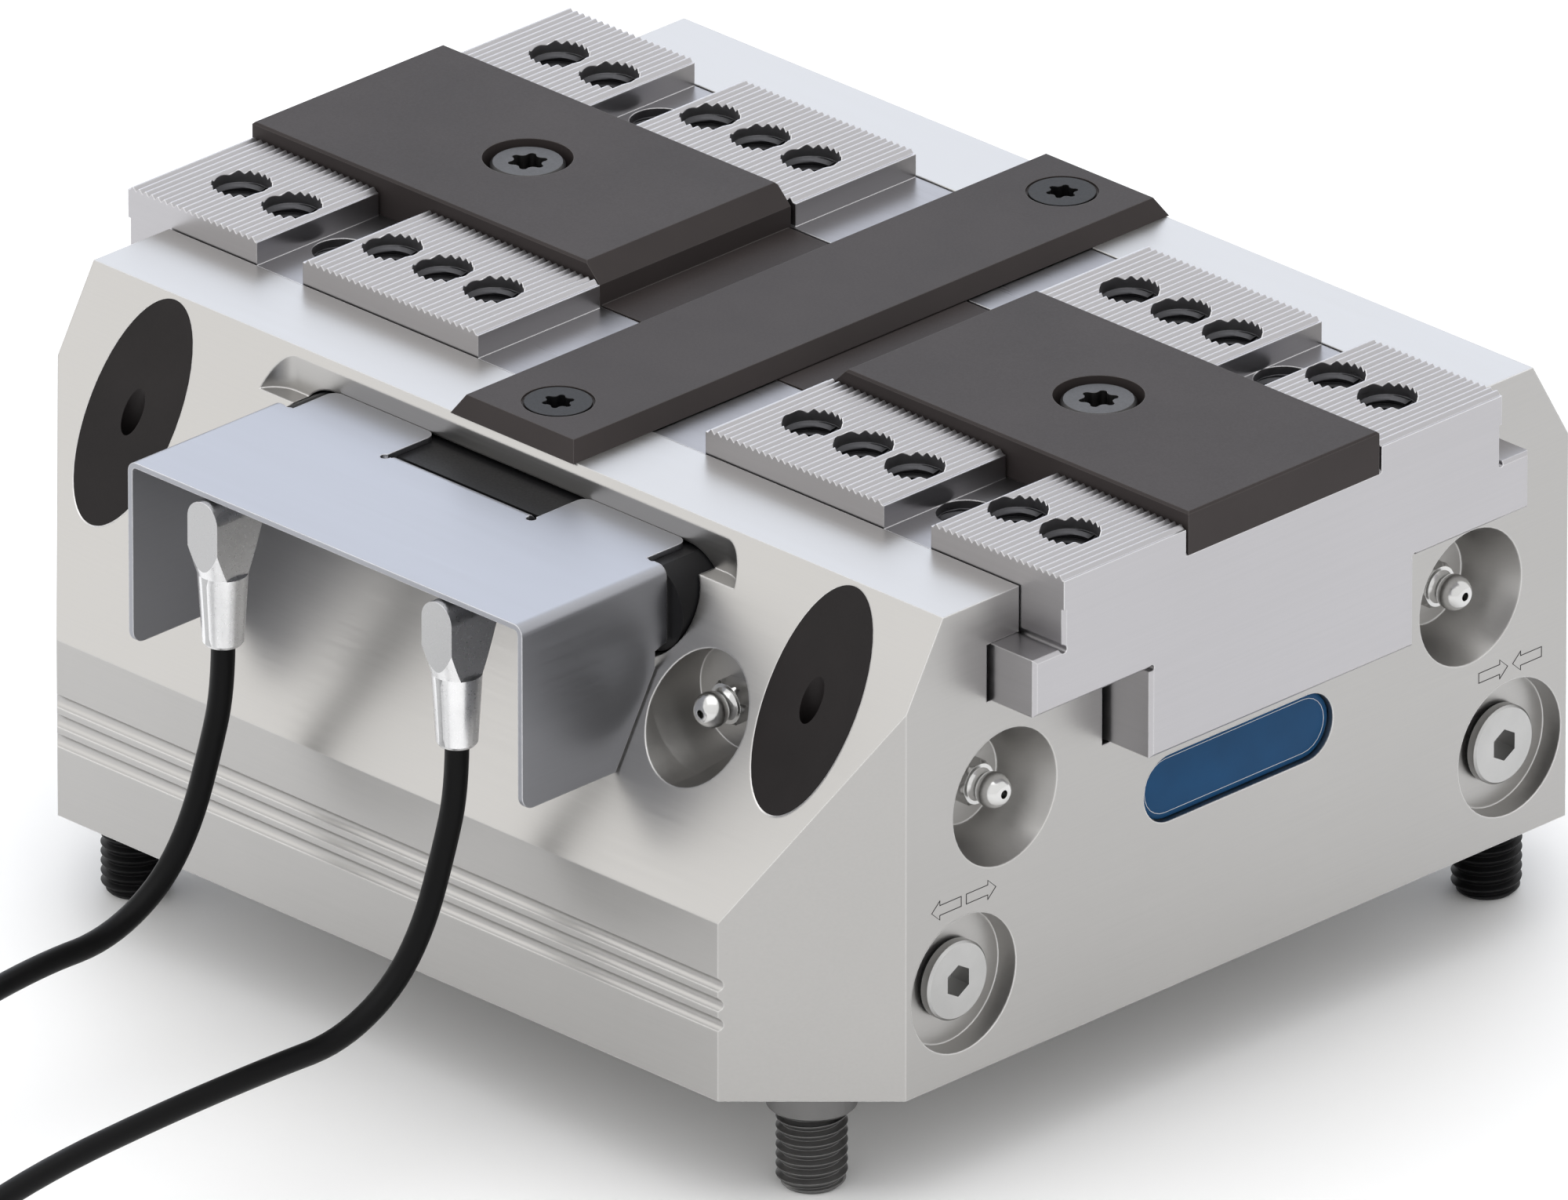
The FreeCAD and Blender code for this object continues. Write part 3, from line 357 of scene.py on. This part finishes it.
def cable_jacket(name, colour):
    m = Shader(name, colour, 0.42)
    m.set(m.bsdf, {"Specular IOR Level": 0.12})
    fine = m.noise(2200.0, detail=2.0)
    rubbed = m.noise(70.0, detail=4.0)
    m.set(m.bsdf, {"Base Color": m.mix(m.spread(rubbed, 0.0, 1.0), shade(colour, 0.8), shade(colour, 1.5))})
    m.set(m.bsdf, {"Roughness": m.math("ADD", m.spread(rubbed, -0.06, 0.08), 0.42)})
    m.relief(fine, 6e-6)
    return m.material


HOUSING_METAL = ground_metal("housing_metal", (0.42, 0.412, 0.402), 0.34, (0.95, 0.94, 0.93), edge=0.00045)
# the jaws' level faces between their pads get a painted shade
JAW_METAL = ground_metal(
    "jaw_metal", (0.44, 0.432, 0.446), 0.32, (0.95, 0.95, 0.96), edge=0.0003, painted_shade_z=SLAB_TOP
)
SHEET_METAL = ground_metal("hood_sheet", (0.33, 0.336, 0.362), 0.38, (0.95, 0.95, 0.97), relief=5e-7)
BLACK_PLATE = black_oxide("black_plate", (0.033, 0.0275, 0.027), 0.5, (0.2, 0.185, 0.18))
BLACK_SCREW = black_oxide("black_screw", (0.006, 0.006, 0.0065), 0.42, (0.03, 0.03, 0.03))
DARK_SCREW = turned_metal("dark_screw", (0.07, 0.068, 0.068), 0.45, (0.35, 0.35, 0.35))
GREY_SCREW = turned_metal("grey_screw", (0.17, 0.168, 0.166), 0.36, (0.5, 0.5, 0.5))
# the thread rings in the jaws' holes: steel painted very dark, a painted shade for inside the holes
THREAD_PAINTED_SHADE = turned_metal("thread_painted_shade", (0.075, 0.075, 0.08), 0.45, (0.16, 0.16, 0.16))
PLUG_METAL = turned_metal("plug_metal", (0.46, 0.458, 0.452), 0.32, (0.92, 0.92, 0.92))
NIPPLE_METAL = turned_metal("nipple_metal", (0.6, 0.598, 0.59), 0.2, (0.95, 0.94, 0.92))
SILVER = turned_metal("silver_cast", (0.72, 0.72, 0.725), 0.33, (0.95, 0.95, 0.96))
# the sensor plugs' flat fronts get a painted shade, darker than the rest
PLUG_SHELL = turned_metal("plug_shell", (0.78, 0.78, 0.785), 0.3, (0.95, 0.95, 0.96), painted_shade_front=True)
CAP_PLASTIC = moulded_plastic("cap_plastic", (0.013, 0.011, 0.011), 0.5)
BLACK_PLASTIC = moulded_plastic("black_plastic", (0.008, 0.0078, 0.0085), 0.42)
GUIDE_PLASTIC = moulded_plastic("guide_plastic", (0.20, 0.12, 0.07), 0.5)
RUBBER = moulded_plastic("seal_rubber", (0.012, 0.012, 0.012), 0.6)
BADGE_BLUE = enamel("badge_blue", (0.003, 0.047, 0.125))
JACKET = cable_jacket("cable_jacket", (0.0018, 0.0018, 0.002))

CAD_LOOKS = {
    "housing": HOUSING_METAL,
    "bottom_cover": HOUSING_METAL,
    "bottom_cover_screws": GREY_SCREW,
    "cover_o_ring": RUBBER,
    "piston": JAW_METAL,
    "piston_seal": RUBBER,
    "piston_guide_ring": GUIDE_PLASTIC,
    "rod_seal": RUBBER,
    "wedge_hook": JAW_METAL,
    "wedge_screw": BLACK_SCREW,
    "jaw_right": JAW_METAL,
    "jaw_left": JAW_METAL,
    "jaw_cover_right": BLACK_PLATE,
    "jaw_cover_left": BLACK_PLATE,
    "jaw_cover_screw_right": DARK_SCREW,
    "jaw_cover_screw_left": DARK_SCREW,
    "bridge_bar": BLACK_PLATE,
    "bridge_screws": BLACK_SCREW,
    "centring_sleeves": GREY_SCREW,
    "mounting_hole_caps": CAP_PLASTIC,
    "port_plugs": PLUG_METAL,
    "port_seal_rings": RUBBER,
    "sensor_insert": BLACK_PLASTIC,
    "insert_screws": BLACK_SCREW,
    "hood": SHEET_METAL,
    "hood_screws": GREY_SCREW,
    "mounting_screws": BLACK_SCREW,
    "badge": BADGE_BLUE,
}
for node, piece in frame["nodes"].items():
    look = CAD_LOOKS.get(node)
    if look is None:
        look = JACKET if node.startswith("cable") else SILVER
    if node.startswith("grease"):
        look = NIPPLE_METAL
    if node.startswith("sensor_plug"):
        look = PLUG_SHELL
    if node.startswith("end_plug") and "nut" not in node:
        look = BLACK_PLASTIC
    for place in piece.material_slots:
        place.material = look


# --- camera ---
def camera():
    """From between +X and -Y, 25 degrees up, with a lens so long that parallel edges stay parallel."""
    azimuth, elevation = math.radians(45), math.radians(25)
    aim = Vector((8.19, -14.67, 40.0)) * MM
    lens, sensor, width = 1000.0, 36.0, 261.4 * MM
    distance = width * lens / sensor
    away = Vector((
        math.sin(azimuth) * math.cos(elevation),
        -math.cos(azimuth) * math.cos(elevation),
        math.sin(elevation),
    ))
    data = bpy.data.cameras.new("camera")
    data.lens = lens
    data.sensor_width = sensor
    data.clip_start, data.clip_end = 0.1, 100.0
    eye = bpy.data.objects.new("camera", data)
    eye.location = aim + distance * away
    eye.rotation_euler = (-away).to_track_quat("-Z", "Y").to_euler()
    SCENE.collection.objects.link(eye)
    SCENE.camera = eye


camera()

# --- cables ---
CABLE_R = 2.05 * MM
CABLE_D = 2 * CABLE_R
LYING = FLOOR_Z + CABLE_R
COIL_R = 22.5 * MM
COIL_END = 1860  # degrees
# the cables' routes before their coils, as Y and Z in millimetres
COMING_DOWN = [
    (-110.3, 52.0), (-110.5, 43.2), (-113.3, 33.9), (-118.2, 20.9),
    (-126.0, 11.7), (-138.3, 6.6), (-152.0, 7.2),
]
GOING_OUT = {
    "left": [
        (-170.0, 5.6), (-190.0, -0.2), (-210.0, -9.6),
        (-228.0, -16.6), (-243.0, -18.75), (-252.4, -18.75),
    ],
    "right": [
        (-178.0, 7.3), (-207.0, 6.1), (-231.0, 1.4), (-249.0, -8.7),
        (-266.0, -15.6), (-277.0, -18.75), (-285.4, -18.75),
    ],
}


def smooth(t):
    t = min(max(t, 0.0), 1.0)
    return t * t * (3 - 2 * t)


def coil_point(centre, turned_by):
    """A point of the coil, turned_by degrees clockwise from its start: inwards, then out again on top."""
    radii = [COIL_R + CABLE_D, COIL_R, COIL_R - CABLE_D, COIL_R - CABLE_D, COIL_R, COIL_R + CABLE_D]
    r = radii[0]
    for k in range(5):
        r += (radii[k + 1] - radii[k]) * smooth((turned_by - 300 - 360 * k) / 45)
    climb = smooth((turned_by - 975) / 70)
    a = -math.radians(turned_by)
    return (centre[0] + r * math.cos(a), centre[1] + r * math.sin(a), LYING + CABLE_D * climb)


def connector(side):
    """The connector at a cable's far end: a ribbed boot and grip, and a knurled nut."""
    node = "end_plug_" + side
    place, out = Vector((high(node).x, middle(node).y, middle(node).z)), (-1, 0, 0)

    def ribbed(radius):
        return lambda a: (radius + 0.14 * math.cos(16 * a)) * MM

    profile = [(0.0, 2.3 * MM), (0.2, 2.6 * MM)]
    for k in range(4):
        h = 1.2 + 1.9 * k
        r = 2.85 + 0.4 * k
        profile += [(h, r * MM), (h, (r - 0.45) * MM), (h + 0.7, (r - 0.4) * MM), (h + 0.7, (r + 0.1) * MM)]
    profile += [(9.0, 4.2 * MM), (9.4, 4.6 * MM), (10.2, 4.6 * MM)]
    profile += [(10.6, ribbed(4.35)), (20.6, ribbed(4.35))]
    profile += [(21.0, 4.5 * MM), (21.6, 4.5 * MM), (22.0, 4.1 * MM)]
    profile += [(22.0, 3.2 * MM), (33.7, 3.2 * MM), (34.0, 2.9 * MM)]
    profile += [(34.0, 2.5 * MM), (30.0, 2.5 * MM)]
    bm = bmesh.new()
    turned(bm, place, out, [(h * MM, r) for h, r in profile], columns=96)
    body = finish_mesh("connector_body_" + side, bm, HOUSING, BLACK_PLASTIC)
    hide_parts(node)

    node = "end_plug_nut_" + side
    place = Vector((high(node).x, middle(node).y, middle(node).z))
    long, outer, inner = 9.0, 5.0, 3.24

    def knurled(radius):
        return lambda a: (radius - 0.2 * abs(math.sin(15 * a))) * MM

    shoulder = outer - 0.1
    profile = [(0.0, inner * MM), (0.0, 4.5 * MM), (0.4, shoulder * MM), (1.0, shoulder * MM)]
    profile += [(1.3, knurled(outer)), (7.4, knurled(outer)), (7.7, 4.6 * MM)]
    profile += [(long - 0.3, 4.6 * MM), (long, 4.3 * MM), (long, inner * MM)]
    bm = bmesh.new()
    add_rows(bm, [ring(place, out, h * MM, r, 120) for h, r in profile], loop=True)
    nut = finish_mesh("connector_nut_" + side, bm, HOUSING, SILVER)
    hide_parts(node)
    return [body, nut]


def cable(side):
    coil = middle("cable_coil_" + side)
    x = middle("sensor_plug_" + side).x
    points = [(x, y * MM, z * MM) for y, z in COMING_DOWN + GOING_OUT[side]]
    for k in range(int(COIL_END / 22.5) + 1):
        points.append(coil_point(coil, 22.5 * k))
    axis = middle("end_plug_" + side).z
    tail = ((0.6, -28.0, LYING + 3.7 * MM), (-8.5, -33.0, LYING + 3.4 * MM))
    for dx, dy, z in tail + ((-18.0, -35.0, axis + 0.1 * MM), (-27.0, -35.0, axis)):
        points.append((coil.x + dx * MM, coil.y + dy * MM, z))
    data = bpy.data.curves.new("cable_jacket_" + side, "CURVE")
    data.dimensions = "3D"
    spline = data.splines.new("NURBS")
    spline.points.add(len(points) - 1)
    for control, place in zip(spline.points, points):
        control.co = (*place, 1.0)
    spline.order_u = 3
    spline.use_endpoint_u = True
    spline.resolution_u = 6
    data.bevel_depth = CABLE_R
    data.bevel_resolution = 6
    data.use_fill_caps = True
    data.materials.append(JACKET)
    cord = bpy.data.objects.new("cable_jacket_" + side, data)
    SCENE.collection.objects.link(cord)
    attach(cord, HOUSING)
    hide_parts("cable_" + side, "cable_coil_" + side)
    nodes = frame["nodes"]
    on_it = [nodes["sensor_plug_" + side], nodes["coupling_nut_" + side]] + connector(side)


for side in ("left", "right"):
    cable(side)


# --- threads ---
def mounting_screw(index, x, y, material):
    """A mounting screw with a real thread below and a socket head up in its counterbore."""
    place = Vector((x, y, 0))
    tip, thread_end, head_top = FLOOR_Z, 6 * MM, high("mounting_screws").z
    seat = head_top - 12 * MM
    crest = 6.0 * MM
    root, chamfer = crest - 0.95 * MM, 0.3 * MM
    rows = thread_rows(place, (0, 0, 1), tip, thread_end, 1.75 * MM, root, crest, root - chamfer)
    socket = hexagon(10 * MM, 6 * MM)
    for h, r in (
        (thread_end, crest - chamfer),
        (seat, crest - chamfer),
        (seat, 9 * MM),
        (head_top - 0.6 * MM, 9 * MM),
        (head_top, 8.4 * MM),
        (head_top, socket),
        (head_top - 6 * MM, socket),
    ):
        rows.append(ring(place, (0, 0, 1), h, r, 48))
    bm = bmesh.new()
    add_rows(bm, rows)
    piece = finish_mesh("mounting_screw_%d" % index, bm, HOUSING, material, sharp=40)
    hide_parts("mounting_screws")


spacing = mount("mounting_studs")["dims"]
half = spacing["spacing_x_mm"] / 2 * MM
for index, (sx, sy) in enumerate(((1, -1), (-1, -1), (1, 1), (-1, 1))):
    front = index == 0
    material, slot = (GREY_SCREW, "screw_steel") if front else (BLACK_SCREW, "black_screw")
    mounting_screw(index + 1, sx * half, sy * half, material)


def jaw_threads(side, body):
    """The M10 threads in a jaw's twelve holes: in each a ring of metal with the thread inside."""
    sign = 1 if side == "right" else -1
    bm = bmesh.new()
    wall, minor, pitch, columns = 5.08 * MM, 4.25 * MM, 1.5 * MM, 36
    root, end = wall - 0.05 * MM, wall - 0.02 * MM
    bottom = 69.2 * MM
    pad_top = high("jaw_" + side).z
    for name in ("outer", "middle", "inner"):
        pattern = mount("top_jaw_holes_%s_%s" % (side, name))
        dims = pattern["dims"]
        for dx in (-1, 1):
            x = pattern["pos_m"][0] + dx * dims["spacing_x_mm"] / 2 * MM
            between_pads = abs(sign * x - 73.5 * MM) < 1 * MM
            top = (SLAB_TOP if between_pads else pad_top - 0.7 * MM) - 1.5 * MM
            for dy in (-1, 1):
                place = Vector((x, dy * dims["spacing_y_mm"] / 2 * MM, 0))
                up = (0, 0, 1)
                inner = thread_rows(place, up, bottom, top, pitch, root, minor, end, columns)
                outer = [ring(place, up, h, wall, columns) for h in (top, bottom)]
                add_rows(bm, inner + outer, loop=True)
    # the rings carry the painted shade of the holes
    finish_mesh("jaw_threads_" + side, bm, body, THREAD_PAINTED_SHADE, sharp=50)


jaw_threads("right", RIGHT_JAW)
jaw_threads("left", LEFT_JAW)


# --- grease nipples ---
def nipple_profile():
    ball, centre = 3.1, 6.6
    profile = [(-1.0, 2.9), (0.0, 2.9), (0.0, hexagon(7 * MM, 4.0 * MM)), (3.0, hexagon(7 * MM, 4.0 * MM))]
    profile += [(3.5, hexagon(7 * MM, 3.55 * MM)), (3.5, 2.9), (3.9, 2.5), (4.3, 2.25)]
    for k in range(13):
        a = math.radians(-44 + 104.6 * k / 12)
        profile.append((centre + ball * math.sin(a), ball * math.cos(a)))
    front = profile[-1][0]
    profile += [(front, 0.75), (front - 3.0, 0.7), (front - 3.0, 0.12)]
    return [(h * MM, r if callable(r) else r * MM) for h, r in profile]


def grease_nipple(name, seat, out, node):
    bm = bmesh.new()
    turned(bm, seat, out, nipple_profile(), columns=48)
    piece = finish_mesh(name, bm, HOUSING, NIPPLE_METAL)
    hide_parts(node)


for side, sign in (("right", 1), ("left", -1)):
    node = "grease_nipples_" + side
    tip = high(node).x if sign > 0 else low(node).x
    row = [low(node).y + 4.04 * MM, high(node).y - 4.04 * MM]
    for k, y in enumerate(row):
        seat = (tip - sign * 9.3 * MM, y, middle(node).z)
        grease_nipple("grease_nipple_%s_%d" % (side, k + 1), seat, (sign, 0, 0), node)
flank = middle("grease_nipple_flank")
seat = (flank.x, low("grease_nipple_flank").y + 9.3 * MM, flank.z)
grease_nipple("grease_nipple_front", seat, (0, -1, 0), "grease_nipple_flank")


# --- name plate and port symbols ---
def pill(x, half_long, r, centre_z, count=12):
    """The outline of a pill in the YZ plane."""
    points = []
    for s in (1, -1):
        for k in range(count + 1):
            a = math.radians(-90 + 180 * k / count)
            y, z = half_long - r + r * math.cos(a), r * math.sin(a)
            points.append(Vector((x, s * y, centre_z + s * z)))
    return points


def name_plate():
    """A plain blue plate with a rounded rim and a thin bright line near its edge."""
    a, b = low("badge"), high("badge")
    half_long, r, z = (b.y - a.y) / 2, (b.z - a.z) / 2, (a.z + b.z) / 2
    bm = bmesh.new()
    rows = []
    front = b.x + 0.02 * MM
    rim = ((b.x - 0.3 * MM, 0.0), (b.x - 0.12 * MM, 0.08), (b.x, 0.3), (front, 0.7))
    for x, inset in ((a.x, 0.0),) + rim:
        rows.append(pill(x, half_long - inset * MM, r - inset * MM, z))
    add_rows(bm, rows)
    plate = finish_mesh("name_plate", bm, HOUSING, BADGE_BLUE, sharp=50)
    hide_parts("badge")
    inset = 1.1 * MM
    loop = pill(front, half_long - inset, r - inset, z)
    line("name_plate_line", [loop], 0.06 * MM, SILVER)


def line(name, loops, width, material):
    """Closed thin lines, as wires of the given half width."""
    data = bpy.data.curves.new(name, "CURVE")
    data.dimensions = "3D"
    for points in loops:
        spline = data.splines.new("POLY")
        spline.points.add(len(points) - 1)
        for control, place in zip(spline.points, points):
            control.co = (*place, 1.0)
        spline.use_cyclic_u = True
    data.bevel_depth = width
    data.bevel_resolution = 1
    data.materials.append(material)
    piece = bpy.data.objects.new(name, data)
    SCENE.collection.objects.link(piece)
    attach(piece, HOUSING)


def arrow(y, z, toward):
    """The outline of a block arrow on the end face; it starts at y and points along toward."""
    length, head, shaft_half, head_half = 6.9, 1.9, 0.9, 1.75
    shape = [(0, -shaft_half), (length - head, -shaft_half), (length - head, -head_half), (length, 0)]
    shape += [(u, -v) for u, v in reversed(shape[:-1])]
    return [Vector((FACE_X, y + toward * u * MM, z + v * MM)) for u, v in shape]


def port_symbols():
    y, z, gap = middle("port_plugs").y + 64.6 * MM, 32.2 * MM, 0.6 * MM
    long = 6.9 * MM
    loops = [arrow(-y - gap, z, -1), arrow(-y + gap, z, 1)]
    loops += [arrow(y - gap - long, z, 1), arrow(y + gap + long, z, -1)]
    line("port_symbols", loops, 0.09 * MM, BLACK_SCREW)


name_plate()
port_symbols()


# --- studio ---
def floor():
    m = Shader("floor", (0.93, 0.93, 0.93), 0.7)
    paint = m.mix(m.spread(m.noise(3.0), 0.0, 1.0), (0.925, 0.925, 0.925), (0.935, 0.935, 0.935))
    m.set(m.bsdf, {"Base Color": paint})
    bm = bmesh.new()
    bmesh.ops.create_grid(bm, x_segments=1, y_segments=1, size=6.0)
    mesh = bpy.data.meshes.new("studio_floor")
    bm.to_mesh(mesh)
    bm.free()
    mesh.materials.append(m.material)
    ground = bpy.data.objects.new("studio_floor", mesh)
    ground.location.z = FLOOR_Z - 0.02 * MM
    SCENE.collection.objects.link(ground)


def softbox(name, toward, distance, size, power, colour):
    data = bpy.data.lights.new(name, "AREA")
    data.shape = "RECTANGLE"
    data.size, data.size_y = size
    data.energy = power
    data.color = colour
    lamp = bpy.data.objects.new(name, data)
    away = Vector(toward).normalized()
    lamp.location = away * distance
    lamp.rotation_euler = away.to_track_quat("Z", "Y").to_euler()
    lamp.visible_camera = False
    SCENE.collection.objects.link(lamp)


def world():
    sky = bpy.data.worlds.new("studio")
    sky.use_nodes = True
    background = sky.node_tree.nodes["Background"]
    background.inputs["Color"].default_value = (1.0, 1.0, 1.0, 1)
    background.inputs["Strength"].default_value = 1.12
    SCENE.world = sky
    SCENE.view_settings.view_transform = "Standard"


floor()
world()
softbox("back_softbox", (-0.64, 0.64, 0.5), 1.6, (1.6, 0.9), 4.6, (0.7, 0.8, 1.0))
softbox("left_softbox", (-0.62, -0.72, 0.36), 1.6, (1.4, 0.9), 2.2, (1.0, 0.98, 0.94))
softbox("top_softbox", (0.1, -0.1, 1.0), 1.6, (1.6, 1.6), 7.0, (1.0, 1.0, 1.0))
